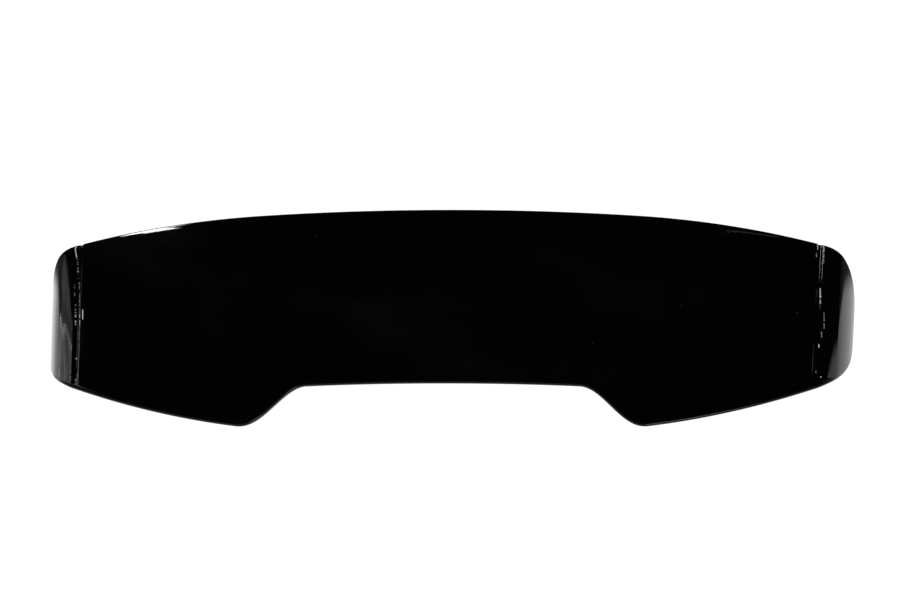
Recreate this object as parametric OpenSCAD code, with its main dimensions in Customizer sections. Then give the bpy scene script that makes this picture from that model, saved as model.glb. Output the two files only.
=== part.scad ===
// Tailgate spoiler for a hatchback or estate car, moulded as one gloss-black shell.
// Millimetres: +X to the right, +Y to the leading edge, +Z up.
// The shell rests on the seats of its two cheeks, which lie in the plane z = 0.

/* [Panel] */
// Height of the middle of the panel above the cheek seats
panel_h = 118; // [110:1:130]
// Radius of the crown, seen from behind
crown_r = 5000; // [4500:100:9000]
// Radius of the camber, from the leading to the trailing edge
camber_r = 2200; // [1600:50:4000]
// Share by which the plan widens for each metre towards the leading edge
widening = 0.2; // [0:0.01:0.25]
// Thickness of the moulded wall
wall_t = 3; // [2.6:0.1:3.6]

/* [Leading edge] */
// Distance of the leading edge in front of the origin, in the middle
lead_y = 168; // [160:1:180]
// Half length of the nearly straight middle stretch
lead_mid_w = 280; // [200:5:320]
// Radius of the middle stretch, seen from above
lead_mid_r = 5700; // [5000:100:9000]
// Radius of the leading edge from there to the ends
lead_end_r = 1480; // [1400:20:3000]

/* [Trailing edge] */
// Distance of the recess behind the origin, in the middle
recess_y = 107.5; // [100:0.5:115]
// Radius of the recess edge, seen from above
recess_r = 6200; // [4000:100:9000]
// Half width of the recess where its flank begins
recess_w = 203; // [190:1:212]
// Distance of a lobe's tip from the middle of the panel
lobe_x = 308; // [300:1:314]
// Distance of a lobe's tip behind the origin
lobe_y = 168; // [160:1:174]
// Slope with which the trailing edge leaves a lobe's tip
lobe_slope = 0.13; // [0.1:0.01:0.16]
// Radius of the trailing edge from a lobe's tip to the cheek
lobe_r = 1150; // [1100:50:2500]

/* [Roof-ditch channels] */
// Distance of each channel from the middle of the panel
channel_x = 556; // [550:0.5:560]
// Width of a channel between its lips
channel_w = 11; // [9:0.5:13]
// Depth of a channel
channel_d = 3.2; // [2:0.1:4]
// Length over which a channel runs out at the trailing edge
channel_fade = 30; // [20:1:60]

/* [Cheeks] */
// Distance from a channel to the start of the shoulder
shoulder_gap = 8; // [7:0.5:14]
// Radius of the shoulder between the panel and a cheek
shoulder_r = 50; // [44:1:56]
// Slope at which the shoulder passes into the gentler curve of the cheek
shoulder_angle = 52; // [48:1:56]
// Slope of a cheek at its foot
cheek_angle = 76; // [72:1:80]
// Length down the cheek of its leading corner
lead_corner_w = 112; // [90:1:118]
// Depth of the leading corner along the car
lead_corner_h = 58; // [50:1:62]
// Length down the cheek of its trailing corner
trail_corner_w = 116; // [90:1:120]
// Depth of the trailing corner along the car
trail_corner_h = 41; // [36:1:46]

/* [Edge flange] */
// Outer radius of the rolled edge
edge_r = 6; // [5:0.5:7]
// Depth of the flange below the outer skin
flange_h = 16; // [14:0.5:18]

/* [Ribs and bosses] */
// Thickness of a rib
rib_t = 2; // [1.5:0.1:2.4]
// Depth of the ribs below the outer skin
rib_h = 12; // [9:0.5:13]
// Distance of the two inner ribs from the middle of the panel
inner_rib_x = 60; // [50:1:80]
// Pitch of the ribs behind the lobes
rib_pitch = 70; // [60:1:72]
// Distance of the bosses from the middle of the panel
boss_x = 380; // [374:1:390]
// Distance of the leading bosses in front of the origin
boss_lead_y = 60; // [50:1:70]
// Distance of the trailing bosses behind the origin
boss_trail_y = 40; // [30:1:50]
// Radius of a boss
boss_r = 9; // [8:0.5:11]
// Height of the boss faces above the cheek seats
boss_z = 72; // [68:1:76]

/* [Threaded inserts] */
// Core radius of the thread
thread_r = 2.5; // [2:0.1:3]
// Radius of an insert
insert_r = 4.5; // [4:0.1:5.5]
// Length of an insert
insert_len = 12; // [8:0.5:14]
// Depth of the relief groove round an insert
relief_d = 0.6; // [0.3:0.1:0.8]
// Free depth of the hole beyond an insert
hole_spare = 2; // [1:0.5:3]

/* [Hidden] */
bore_fn = 64;
boss_fn = 48;
deg = 180 / PI;
// Rows of points along the car, and steps across the recess, flank, lobe, channel and shoulder
row_n = 10;
recess_n = 7;
flank_n = 12;
lobe_n = 8;
channel_n = 8;
shoulder_n = 6;
cheek_n = 8;
// Steps round the rolled edge, along a rib and along half a spine
round_n = 5;
rib_n = 10;
spine_n = 18;
// Small distance over which slopes are measured
probe = 0.5;
// The flange leans in by this angle, which lays the underside of a cheek's flange level
lean = 90 - cheek_angle;

// The outer skin seen from behind is a line measured by its length s:
// crown, shoulder and cheek, ending where the rolled edge brings its flange to z = 0.
seat_lift = edge_r * (1 + cos(cheek_angle) - sin(cheek_angle));
shoulder_s = channel_x + shoulder_gap;
shoulder_a = shoulder_s / crown_r * deg;
cheek_s = shoulder_s + shoulder_r * (shoulder_angle - shoulder_a) / deg;

function crown_at(s) = let (a = s / crown_r * deg)
    [crown_r * sin(a), panel_h - crown_r * (1 - cos(a))];
function shoulder_at(s) = let (a = shoulder_a + (s - shoulder_s) / shoulder_r * deg)
    crown_at(shoulder_s) + shoulder_r * [sin(a) - sin(shoulder_a), cos(a) - cos(shoulder_a)];
cheek_r = (shoulder_at(cheek_s)[1] - seat_lift) / (cos(shoulder_angle) - cos(cheek_angle));
function cheek_at(s) = let (a = shoulder_angle + (s - cheek_s) / cheek_r * deg)
    shoulder_at(cheek_s) + cheek_r * [sin(a) - sin(shoulder_angle), cos(a) - cos(shoulder_angle)];
end_s = cheek_s + cheek_r * (cheek_angle - shoulder_angle) / deg;

function half_line(s) = s < shoulder_s ? crown_at(s) : s < cheek_s ? shoulder_at(s) : cheek_at(s);
function skin_line(s) = let (p = half_line(abs(s))) [sign(s) * p[0], p[1]];

// The skin is that line carried along y, cambered, and widened towards the leading edge
function wide(y) = 1 + widening * y / 1000;
function camber(y) = 1 - y * y / (2 * camber_r * panel_h);
function skin(s, y) = let (p = skin_line(s))
    [p[0] * wide(y), y, seat_lift + (p[1] - seat_lift) * camber(y)];
function unit(v) = v / norm(v);
function skin_normal(s, y) =
    unit(cross(skin(s + probe, y) - skin(s - probe, y), skin(s, y + probe) - skin(s, y - probe)));
// Height of the outer skin over a point of the plan inside the channels
function skin_z(x, y) = skin(asin(x / wide(y) / crown_r) * crown_r / deg, y)[2];

// The leading and the trailing edge give y for a length s
function ease(t) = (1 - cos(180 * max(0, min(1, t)))) / 2;
function corner(s, w, h) = let (e = max(0, s - end_s + w) / w) h * (1 - sqrt(max(0, 1 - e * e)));
function lead_line(s) = let (m = min(s, lead_mid_w), e = s - m)
    lead_y - m * m / (2 * lead_mid_r) - e * lead_mid_w / lead_mid_r - e * e / (2 * lead_end_r);
function lobe_line(s) = let (e = s - lobe_x)
    lobe_slope * e - lobe_y + (e > 0 ? e * e / (2 * lobe_r) : 0);
function recess_line(s) = -recess_y - s * s / (2 * recess_r);
function trail_line(s) = recess_line(s)
    + (lobe_line(s) - recess_line(s)) * ease((s - recess_w) / (lobe_x - recess_w));
function lead(s) = lead_line(abs(s)) - corner(abs(s), lead_corner_w, lead_corner_h);
function trail(s) = trail_line(abs(s)) + corner(abs(s), trail_corner_w, trail_corner_h);

// Depth of the channels, which run out before the trailing edge
function channel(s, y) = channel_d * ease(1 - 2 * abs(abs(s) - channel_x) / channel_w)
    * ease((y - trail(channel_x) - edge_r) / channel_fade);

// Stations across the panel, even within each stretch and closing up towards the seat
function steps(from, to, n) = [for (i = [0 : n - 1]) from + (to - from) * i / n];
half_stations = concat(
    steps(0, recess_w, recess_n),
    steps(recess_w, lobe_x, flank_n),
    steps(lobe_x, channel_x - channel_w / 2, lobe_n),
    steps(channel_x - channel_w / 2, channel_x + channel_w / 2, channel_n),
    steps(channel_x + channel_w / 2, shoulder_s, 1),
    steps(shoulder_s, cheek_s, shoulder_n),
    [for (i = [0 : cheek_n]) cheek_s + (end_s - cheek_s) * sin(90 * i / cheek_n)]);
half_n = len(half_stations);
stations = [for (i = [1 - half_n : half_n - 1]) sign(i) * half_stations[abs(i)]];
col_n = len(stations);

// The outline is a ring of [s, y]: trailing edge, right seat, leading edge, left seat
seat_n = row_n - 2;
seat_ys = [for (k = [1 : seat_n]) trail(end_s) + (lead(end_s) - trail(end_s)) * k / (row_n - 1)];
outline = concat(
    [for (s = stations) [s, trail(s)]],
    [for (y = seat_ys) [end_s, y]],
    [for (i = [1 : col_n]) [stations[col_n - i], lead(stations[col_n - i])]],
    [for (k = [1 : seat_n]) [-end_s, seat_ys[seat_n - k]]]);
ring_n = len(outline);
function ring_at(j) = outline[(j + ring_n) % ring_n];
function outwards(j) = let (t = unit(ring_at(j + 1) - ring_at(j - 1))) [t[1], -t[0]];
inset = [for (j = [0 : ring_n - 1]) ring_at(j) - edge_r * outwards(j)];

// The panel is a grid of rows between the inset trailing edge and the inset leading edge
last_lead = 2 * col_n + seat_n - 1;
panel_sy = [for (i = [0 : col_n - 1]) for (k = [0 : row_n - 1])
    inset[i] + (inset[last_lead - i] - inset[i]) * k / (row_n - 1)];
function panel_point(q, depth) =
    skin(q[0], q[1]) - (channel(q[0], q[1]) + depth) * skin_normal(q[0], q[1]);
panel_out = [for (q = panel_sy) panel_point(q, 0)];
panel_in = [for (q = panel_sy) panel_point(q, wall_t)];

// Section of the rolled edge as [distance outwards, height], from the outer skin to the inner
turn = 90 + lean;
flange_len = (flange_h - edge_r - edge_r * sin(lean)) / cos(lean);
function edge_arc(r, a) = [r * sin(a) - edge_r, r * cos(a) - edge_r];
tip_out = edge_arc(edge_r, turn) - flange_len * [sin(lean), cos(lean)];
tip_in = tip_out + wall_t * [-cos(lean), sin(lean)];
edge_section = concat(
    [for (i = [1 : round_n]) edge_arc(edge_r, turn * i / round_n)],
    [tip_out, tip_in],
    [for (i = [0 : round_n - 1]) edge_arc(edge_r - wall_t, turn * (1 - i / round_n))]);
section_n = len(edge_section);

// The rolled edge is that section carried round the outline. It follows the channels at the skin.
function skin_at(q) = skin(q[0], q[1]);
function edge_point(j, q) = let (
    b = ring_at(j),
    up = skin_normal(b[0], b[1]),
    out = unit(cross(skin_at(ring_at(j + 1)) - skin_at(ring_at(j - 1)), up)),
    sink = channel(b[0], b[1]) * (1 + q[1] / flange_h))
    skin_at(b) + q[0] * out + (q[1] - sink) * up;
edge_points = [for (q = edge_section) for (j = [0 : ring_n - 1]) edge_point(j, q)];

// Point numbers of the mesh: outer grid, inner grid, then one ring for each point of the section
grid_n = col_n * row_n;
function grid_i(i, k) = i * row_n + k;
function border_i(j) =
    j < col_n ? grid_i(j, 0)
    : j < col_n + seat_n ? grid_i(col_n - 1, j - col_n + 1)
    : j <= last_lead ? grid_i(last_lead - j, row_n - 1)
    : grid_i(0, ring_n - j);
function edge_i(r, j) = let (w = j % ring_n)
    r == 0 ? border_i(w)
    : r > section_n ? grid_n + border_i(w)
    : 2 * grid_n + (r - 1) * ring_n + w;
function split(c) = [[c[0], c[1], c[2]], [c[0], c[2], c[3]]];
cells = [for (i = [0 : col_n - 2]) for (k = [0 : row_n - 2])
    [grid_i(i, k), grid_i(i, k + 1), grid_i(i + 1, k + 1), grid_i(i + 1, k)]];
shell_faces = concat(
    [for (c = cells) each split(c)],
    [for (c = cells) each split([for (m = [3 : -1 : 0]) c[m] + grid_n])],
    [for (r = [0 : section_n]) for (j = [0 : ring_n - 1])
        each split([edge_i(r, j), edge_i(r, j + 1), edge_i(r + 1, j + 1), edge_i(r + 1, j)])]);

module moulded_wall() {
    polyhedron(points = concat(panel_out, panel_in, edge_points), faces = shell_faces);
}

// A plane x = const meets the two edges where repeated steps towards them settle
function trail_over(x, y, n) = n == 0 ? y : trail_over(x, trail(x / wide(y)), n - 1);
function lead_over(x, y, n) = n == 0 ? y : lead_over(x, lead(x / wide(y)), n - 1);

// Ribs start in the middle of the wall and end in the middle of the rolled edge
rib_end = concat(
    [for (a = [0 : 30 : 90]) edge_arc(edge_r - wall_t / 2, a)],
    [[(tip_out[0] + tip_in[0]) / 2, -rib_h]]);
rib_end_n = len(rib_end);

module cross_rib(x) {
    trail_y = trail_over(x, 0, 4);
    lead_y = lead_over(x, 0, 4);
    ys = steps(trail_y + edge_r, lead_y - edge_r, rib_n);
    trail_end = [for (i = [1 : rib_end_n]) let (q = rib_end[rib_end_n - i])
        [trail_y - q[0], skin_z(x, trail_y) + q[1]]];
    lead_end = [for (q = rib_end) [lead_y + q[0], skin_z(x, lead_y) + q[1]]];
    top = [for (i = [1 : rib_n - 1]) [ys[i], skin_z(x, ys[i]) - wall_t / 2]];
    bottom = [for (i = [1 : rib_n - 1]) let (y = ys[rib_n - i]) [y, skin_z(x, y) - rib_h]];
    translate([x - rib_t / 2, 0, 0])
        rotate([90, 0, 90])
            linear_extrude(rib_t)
                polygon(concat(trail_end, top, lead_end, bottom));
}

// A spine runs from channel to channel and tapers out at both ends
module spine(y) {
    reach = channel_x - channel_w;
    top = [for (i = [-spine_n : spine_n]) let (x = reach * i / spine_n)
        [x, skin_z(x, y) - wall_t / 2]];
    bottom = [for (i = [1 - spine_n : spine_n - 1]) let (x = -reach * i / spine_n)
        [x, skin_z(x, y) - rib_h]];
    translate([0, y + rib_t / 2, 0])
        rotate([90, 0, 0])
            linear_extrude(rib_t)
                polygon(concat(top, bottom));
}

rib_xs = concat([inner_rib_x, 3 * inner_rib_x], [for (i = [-1 : 2]) boss_x + i * rib_pitch]);
spine_ys = [-boss_trail_y, boss_lead_y];
boss_spots = [for (x = [-boss_x, boss_x]) for (y = spine_ys) [x, y]];

module boss(p) {
    translate([p[0], p[1], boss_z])
        cylinder(r = boss_r, h = skin_z(p[0], p[1]) - wall_t / 2 - boss_z, $fn = boss_fn);
}

module insert_hole(p) {
    translate([p[0], p[1], boss_z - 1])
        cylinder(r = insert_r, h = insert_len + hole_spare + 1, $fn = bore_fn);
}

module spoiler_shell() {
    color([0.02, 0.02, 0.025])
        difference() {
            union() {
                moulded_wall();
                for (x = rib_xs, side = [-1, 1]) cross_rib(side * x);
                for (y = spine_ys) spine(y);
                for (p = boss_spots) boss(p);
            }
            for (p = boss_spots) insert_hole(p);
        }
}

// An insert is turned brass: a plain barrel with a relief groove and a threaded core
module insert() {
    relief_w = insert_len / 5;
    difference() {
        cylinder(r = insert_r, h = insert_len, $fn = bore_fn);
        translate([0, 0, -1])
            cylinder(r = thread_r, h = insert_len + 2, $fn = bore_fn);
        translate([0, 0, (insert_len - relief_w) / 2])
            difference() {
                cylinder(r = insert_r + 1, h = relief_w, $fn = bore_fn);
                translate([0, 0, -1])
                    cylinder(r = insert_r - relief_d, h = relief_w + 2, $fn = bore_fn);
            }
    }
}

module threaded_inserts() {
    color([0.72, 0.58, 0.3])
        for (p = boss_spots)
            translate([p[0], p[1], boss_z])
                insert();
}

spoiler_shell();
threaded_inserts();
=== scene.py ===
# %% [markdown]
# # A gloss-black tailgate spoiler
# The object is one plastic moulding about 1.26 m wide that straddles the top edge of a
# tailgate. Its panel is crowned and cambered, two shallow channels carry on the roof
# ditches, and a cheek drops at each end. The outside is painted to a deep gloss. The
# inside is raw, with ribs, bosses and brass inserts.
#
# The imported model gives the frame: places, sizes and names. This lesson dresses it.

import math
import bpy
import numpy as np
from mathutils import Matrix, Vector


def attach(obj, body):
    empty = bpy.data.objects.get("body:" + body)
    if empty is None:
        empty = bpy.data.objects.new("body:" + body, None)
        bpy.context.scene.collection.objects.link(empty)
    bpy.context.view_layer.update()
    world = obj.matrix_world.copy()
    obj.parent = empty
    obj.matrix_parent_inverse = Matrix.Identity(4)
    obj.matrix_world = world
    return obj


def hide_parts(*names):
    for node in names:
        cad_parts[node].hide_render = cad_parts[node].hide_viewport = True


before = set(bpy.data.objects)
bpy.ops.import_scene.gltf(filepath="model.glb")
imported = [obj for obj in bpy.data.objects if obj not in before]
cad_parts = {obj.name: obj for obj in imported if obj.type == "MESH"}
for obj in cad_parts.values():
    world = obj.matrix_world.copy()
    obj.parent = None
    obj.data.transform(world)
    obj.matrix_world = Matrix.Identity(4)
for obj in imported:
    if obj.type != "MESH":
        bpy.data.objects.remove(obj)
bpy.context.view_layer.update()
mm = 0.001
scene = bpy.context.scene
print("packed nodes:", sorted(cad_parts))

# %% [markdown]
# ## Camera
# The photograph looks down on the panel from behind the car, at 71 degrees above the
# horizon and 1.7 m away. The frame's middle lies left of the lens axis, so the lens is
# shifted a little, as a cropped picture needs.

# %% Camera
height_angle = math.radians(71.27)
side_angle = math.radians(0.06)
camera_roll = math.radians(-0.08)
camera_distance = 1.656
aim = Vector((0.202, 0.015, 0.08))
frame_px = (920, 613)
focal_px = 1098
optical_centre_px = (582, 310)

back = Vector((
    math.sin(side_angle) * math.cos(height_angle),
    -math.cos(side_angle) * math.cos(height_angle),
    math.sin(height_angle)))
level = Vector((math.cos(side_angle), math.sin(side_angle), 0))
upright = back.cross(level)
right = level * math.cos(camera_roll) + upright * math.sin(camera_roll)
up = upright * math.cos(camera_roll) - level * math.sin(camera_roll)

lens = bpy.data.cameras.new("camera")
lens.sensor_width = 36
lens.lens = focal_px * lens.sensor_width / frame_px[0]
lens.shift_x = (frame_px[0] / 2 - optical_centre_px[0]) / frame_px[0]
lens.shift_y = (optical_centre_px[1] - frame_px[1] / 2) / frame_px[0]
lens.clip_start = 0.05
camera = bpy.data.objects.new("camera", lens)
scene.collection.objects.link(camera)
turned = Matrix((right, up, back)).transposed().to_4x4()
camera.matrix_world = Matrix.Translation(aim + back * camera_distance) @ turned
scene.camera = camera
scene.view_settings.view_transform = "Standard"
print("lens %.1f mm, shift %.3f" % (lens.lens, lens.shift_x))

# %% [markdown]
# ## Small tools for node trees
# A node tree is easier to read when each formula takes one line. `put` adds a node and
# `fill` sets its inputs, each to a number or a link. `calc` and `vec` wrap the Math and
# Vector Math nodes, and return the socket that holds the result. `times` multiplies a row
# of values, and `split` gives the X, Y and Z of a vector.

# %% Tools for node trees
def fill(tree, node, inputs):
    for key, value in inputs.items():
        if isinstance(value, bpy.types.NodeSocket):
            tree.links.new(value, node.inputs[key])
        else:
            node.inputs[key].default_value = value
    return node


def put(tree, kind, inputs=None, **settings):
    made = tree.nodes.new(kind)
    for field, value in settings.items():
        setattr(made, field, value)
    return fill(tree, made, inputs or {})


def calc(tree, operation, a, b=0.0, c=0.0):
    return put(tree, "ShaderNodeMath", {0: a, 1: b, 2: c}, operation=operation).outputs[0]


def vec(tree, operation, a, b=(0, 0, 0), scale=None, out=0):
    inputs = {0: a, 1: b} if scale is None else {0: a, "Scale": scale}
    return put(tree, "ShaderNodeVectorMath", inputs, operation=operation).outputs[out]


def times(tree, *values):
    made = values[0]
    for value in values[1:]:
        made = calc(tree, "MULTIPLY", made, value)
    return made


def combine(tree, x=0.0, y=0.0, z=0.0):
    return put(tree, "ShaderNodeCombineXYZ", {0: x, 1: y, 2: z}).outputs[0]


def split(tree, vector):
    return put(tree, "ShaderNodeSeparateXYZ", {0: vector}).outputs


def add_socket(tree, name, kind, value=None, way="INPUT"):
    socket = tree.interface.new_socket(name=name, in_out=way, socket_type=kind)
    if value is not None:
        socket.default_value = value


# %% [markdown]
# ## The press
# A panel like this follows a rule. Seen from behind, its skin is one line of three arcs:
# the crown, the shoulder and the cheek. That line is carried along the car, cambered, and
# widened towards the leading edge. So the shell is drawn flat first, as a sheet whose X is
# the length along that line and whose Y is the place along the car, and a press then bends
# the sheet. The press is one node group, so that the wall and the ribs share it.

# %% Sizes of the skin
skin_sizes = {
    "Panel height": 118 * mm, "Crown radius": 5000 * mm, "Camber radius": 2200 * mm,
    "Widening": 0.2, "Shoulder start": 564 * mm, "Shoulder radius": 50 * mm,
    "Shoulder angle": math.radians(52)}
edge_radius = 6 * mm
foot_angle = math.radians(76)
crown_r, shoulder_r = skin_sizes["Crown radius"], skin_sizes["Shoulder radius"]
shoulder_s, shoulder_angle = skin_sizes["Shoulder start"], skin_sizes["Shoulder angle"]
crown_turn = shoulder_s / crown_r
seat_lift = edge_radius * (1 + math.cos(foot_angle) - math.sin(foot_angle))
cheek_s = shoulder_s + shoulder_r * (shoulder_angle - crown_turn)
cheek_top = (skin_sizes["Panel height"] - crown_r * (1 - math.cos(crown_turn))
             + shoulder_r * (math.cos(shoulder_angle) - math.cos(crown_turn)))
cheek_r = (cheek_top - seat_lift) / (math.cos(shoulder_angle) - math.cos(foot_angle))
end_s = cheek_s + cheek_r * (foot_angle - shoulder_angle)
skin_sizes["Seat lift"] = seat_lift
skin_sizes["Cheek radius"] = cheek_r
print("cheek radius %.1f mm, length of the skin line %.1f mm" % (cheek_r / mm, 2 * end_s / mm))

# %% Along the three arcs
def follow_arcs(tree, size, length):
    """How far across and down a length along the skin line leads, and the slope there."""
    # The part of the length that lies on each arc
    crown_end = calc(tree, "DIVIDE", size["Shoulder start"], size["Crown radius"])
    arc = times(tree, calc(tree, "SUBTRACT", size["Shoulder angle"], crown_end),
                size["Shoulder radius"])
    on_crown = calc(tree, "MINIMUM", length, size["Shoulder start"])
    beyond = calc(tree, "MAXIMUM", calc(tree, "SUBTRACT", length, size["Shoulder start"]), 0.0)
    on_shoulder = calc(tree, "MINIMUM", beyond, arc)
    on_cheek = calc(tree, "SUBTRACT", beyond, on_shoulder)
    # Each arc starts at the slope where the one before it ends
    arcs = ((0.0, on_crown, size["Crown radius"]),
            (crown_end, on_shoulder, size["Shoulder radius"]),
            (size["Shoulder angle"], on_cheek, size["Cheek radius"]))
    across, fall, slope = 0.0, 0.0, 0.0
    for start, on_arc, radius in arcs:
        turned = calc(tree, "DIVIDE", on_arc, radius)
        slope = calc(tree, "ADD", slope, turned)
        stop = calc(tree, "ADD", turned, start)
        step = calc(tree, "SUBTRACT", calc(tree, "SINE", stop), calc(tree, "SINE", start))
        across = calc(tree, "MULTIPLY_ADD", step, radius, across)
        step = calc(tree, "SUBTRACT", calc(tree, "COSINE", start), calc(tree, "COSINE", stop))
        fall = calc(tree, "MULTIPLY_ADD", step, radius, fall)
    return across, fall, slope


# %% The press as a node group
def make_press():
    tree = bpy.data.node_groups.new("press", "GeometryNodeTree")
    for label, value in skin_sizes.items():
        add_socket(tree, label, "NodeSocketFloat", value)
    for label in ("Flat place", "Direction"):
        add_socket(tree, label, "NodeSocketVector")
    for label in ("Skin place", "Up", "Outwards"):
        add_socket(tree, label, "NodeSocketVector", way="OUTPUT")
    size = tree.nodes.new("NodeGroupInput").outputs
    flat = split(tree, size["Flat place"])
    side = calc(tree, "SIGN", flat["X"])
    y = flat["Y"]
    across, fall, slope = follow_arcs(tree, size, calc(tree, "ABSOLUTE", flat["X"]))
    height = calc(tree, "SUBTRACT", size["Panel height"], fall)
    height = calc(tree, "SUBTRACT", height, size["Seat lift"])
    # Camber and widening
    bend = calc(tree, "MULTIPLY", size["Camber radius"], size["Panel height"])
    y_bend = calc(tree, "DIVIDE", y, bend)
    camber = calc(tree, "SUBTRACT", 1.0, times(tree, y_bend, y, 0.5))
    wide = calc(tree, "MULTIPLY_ADD", y, size["Widening"], 1.0)
    across = calc(tree, "MULTIPLY", across, side)
    place = combine(tree, calc(tree, "MULTIPLY", across, wide), y,
                    calc(tree, "MULTIPLY_ADD", height, camber, size["Seat lift"]))
    # The two directions along the skin, whose cross product is its normal
    along_x = combine(tree, times(tree, calc(tree, "COSINE", slope), wide), 0.0,
                      times(tree, calc(tree, "SINE", slope), camber, side, -1.0))
    along_y = combine(tree, times(tree, across, size["Widening"]), 1.0,
                      times(tree, height, y_bend, -1.0))
    normal = vec(tree, "NORMALIZE", vec(tree, "CROSS_PRODUCT", along_x, along_y))
    way = split(tree, size["Direction"])
    along = vec(tree, "ADD", vec(tree, "SCALE", along_x, scale=way["X"]),
                vec(tree, "SCALE", along_y, scale=way["Y"]))
    outwards = vec(tree, "NORMALIZE", vec(tree, "CROSS_PRODUCT", along, normal))
    end = tree.nodes.new("NodeGroupOutput").inputs
    for label, socket in (("Skin place", place), ("Up", normal), ("Outwards", outwards)):
        tree.links.new(socket, end[label])
    return tree


press = make_press()
print("press: %d nodes" % len(press.nodes))

# %% [markdown]
# ## The outline on the flat sheet
# The leading edge is a gentle arc that tightens towards the ends. The trailing edge has a
# wide recess between two lobes, joined by S-curves. At each end the corners are parts of
# an ellipse, and between them runs the level foot of the cheek, the seat.

# %% Outline of the sheet
# Leading edge: its place in the middle, where it tightens, its radius before and after that
lead_y, lead_mid_w, lead_mid_r, lead_end_r = (v * mm for v in (168, 280, 5700, 1480))
# Recess: its place in the middle, its radius, and where its flank starts
recess_y, recess_r, recess_w = (v * mm for v in (107.5, 6200, 203))
# Lobe: where the flank ends, and the slope and the radius from there on
lobe_x, lobe_y, lobe_r = (v * mm for v in (308, 168, 1150))
lobe_slope = 0.13
# Corners: length and depth of each quarter ellipse
lead_corner = (112 * mm, 58 * mm)
trail_corner = (116 * mm, 41 * mm)


def ease(t):
    """Goes from 0 to 1 along half a wave."""
    return (1 - np.cos(np.pi * np.clip(t, 0, 1))) / 2


def corner(s, size):
    e = np.clip(s - end_s + size[0], 0, size[0]) / size[0]
    return size[1] * (1 - np.sqrt(1 - e * e))


def lead(s):
    s = np.abs(s)
    m = np.minimum(s, lead_mid_w)
    e = s - m
    line = lead_y - m * m / (2 * lead_mid_r)
    line = line - e * lead_mid_w / lead_mid_r - e * e / (2 * lead_end_r)
    return line - corner(s, lead_corner)


def trail(s):
    s = np.abs(s)
    e = s - lobe_x
    lobe = lobe_slope * e - lobe_y + np.maximum(e, 0) ** 2 / (2 * lobe_r)
    recess = -recess_y - s * s / (2 * recess_r)
    line = recess + (lobe - recess) * ease((s - recess_w) / (lobe_x - recess_w))
    return line + corner(s, trail_corner)


print("seat from y %.1f to %.1f mm" % (trail(end_s) / mm, lead(end_s) / mm))

# %% [markdown]
# ## Channels
# The two channels are soft grooves, 11 mm wide and 3.2 mm deep. They open at the leading
# edge and run out just before the trailing edge. A cosine makes both lips round.

# %% Channels
channel_x, channel_w, channel_d, channel_fade = (v * mm for v in (556, 11, 3.2, 30))


def channel(s, y):
    across = ease(1 - 2 * np.abs(np.abs(s) - channel_x) / channel_w)
    return channel_d * across * ease((y - trail(channel_x) - edge_radius) / channel_fade)


print("channels: %.0f mm from the middle" % (channel_x / mm))

# %% [markdown]
# ## Flat pattern of the wall
# The wall is a closed solid, 3 mm thick, whose edge is rolled over into a flange. The
# pattern is a mesh in which each point carries three notes: how far outwards it lies from
# the outline, how high above the skin, and which way the outline runs there. The panel is
# a grid of rows. The rolled edge is a section carried round the outline. The steps are
# fine where the form turns fast, because a gloss surface shows every facet.

# %% Stations along the skin line
wall_t, flange_h = 3 * mm, 16 * mm
lean = math.pi / 2 - foot_angle
# From the middle outwards: where each stretch of the line ends, and its number of steps
stretches = ((recess_w, 24), (lobe_x, 30), (channel_x - channel_w / 2, 26),
             (channel_x + channel_w / 2, 28), (shoulder_s, 4), (cheek_s, 24))
cheek_steps = 26
half_line, start = [], 0
for stop, steps in stretches:
    half_line.append(np.linspace(start, stop, steps, endpoint=False))
    start = stop
# On the cheek the steps get shorter towards the foot
cheek_share = np.sin(np.linspace(0, np.pi / 2, cheek_steps))
half_line = np.concatenate(half_line + [cheek_s + (end_s - cheek_s) * cheek_share])
stations = np.concatenate([-half_line[:0:-1], half_line])
columns = len(stations)
rows = 56
print("%d columns by %d rows" % (columns, rows))

# %% Section of the rolled edge
def arc_point(r, a):
    return np.array([r * math.sin(a), r * math.cos(a)]) - edge_radius


turn = math.pi / 2 + lean
flange_len = (flange_h - edge_radius - edge_radius * math.sin(lean)) / math.cos(lean)
down = np.array([-math.sin(lean), -math.cos(lean)])
inwards = np.array([-math.cos(lean), math.sin(lean)])
tip_out = arc_point(edge_radius, turn) + flange_len * down
tip_in = tip_out + wall_t * inwards
tip_r = 0.6 * mm
outer_steps, inner_steps = 16, 8
# Down the outside, round the tip and up the inside. The points crowd at the tip's corners,
# at distances in tip radii, so that the corners shade as tight rounds.
section = [arc_point(edge_radius, turn * i / outer_steps) for i in range(1, outer_steps + 1)]
section += [tip_out - down * tip_r * k for k in (6, 3, 1, 0.3)]
painted = len(section) + 1
section += [tip_out + inwards * tip_r * k for k in (0.3, 1)]
section += [tip_in - inwards * tip_r * k for k in (1, 0.3)]
section += [tip_in - down * tip_r * k for k in (0.3, 1, 5)]
section += [arc_point(edge_radius - wall_t, turn * (1 - i / inner_steps))
            for i in range(inner_steps)]
section = np.array(section)
print("rolled edge: %d points, %d of them painted" % (len(section), painted))

# %% Outline ring and notes
def ring_outline():
    seat = np.linspace(trail(end_s), lead(end_s), rows)[1:-1]
    return np.concatenate([
        np.column_stack([stations, trail(stations)]),
        np.column_stack([np.full(rows - 2, end_s), seat]),
        np.column_stack([stations[::-1], lead(stations[::-1])]),
        np.column_stack([np.full(rows - 2, -end_s), seat[::-1]])])


def mesh_from(name, points, faces, notes):
    mesh = bpy.data.meshes.new(name)
    mesh.from_pydata(points.tolist(), [], faces)
    for label, values in notes.items():
        kind, field = ("FLOAT_VECTOR", "vector") if values.ndim == 2 else ("FLOAT", "value")
        note = mesh.attributes.new(label, kind, "POINT")
        note.data.foreach_set(field, values.astype(np.float32).ravel())
    mesh.update()
    return mesh


ring = ring_outline()
print("ring of %d stations" % len(ring))

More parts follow.
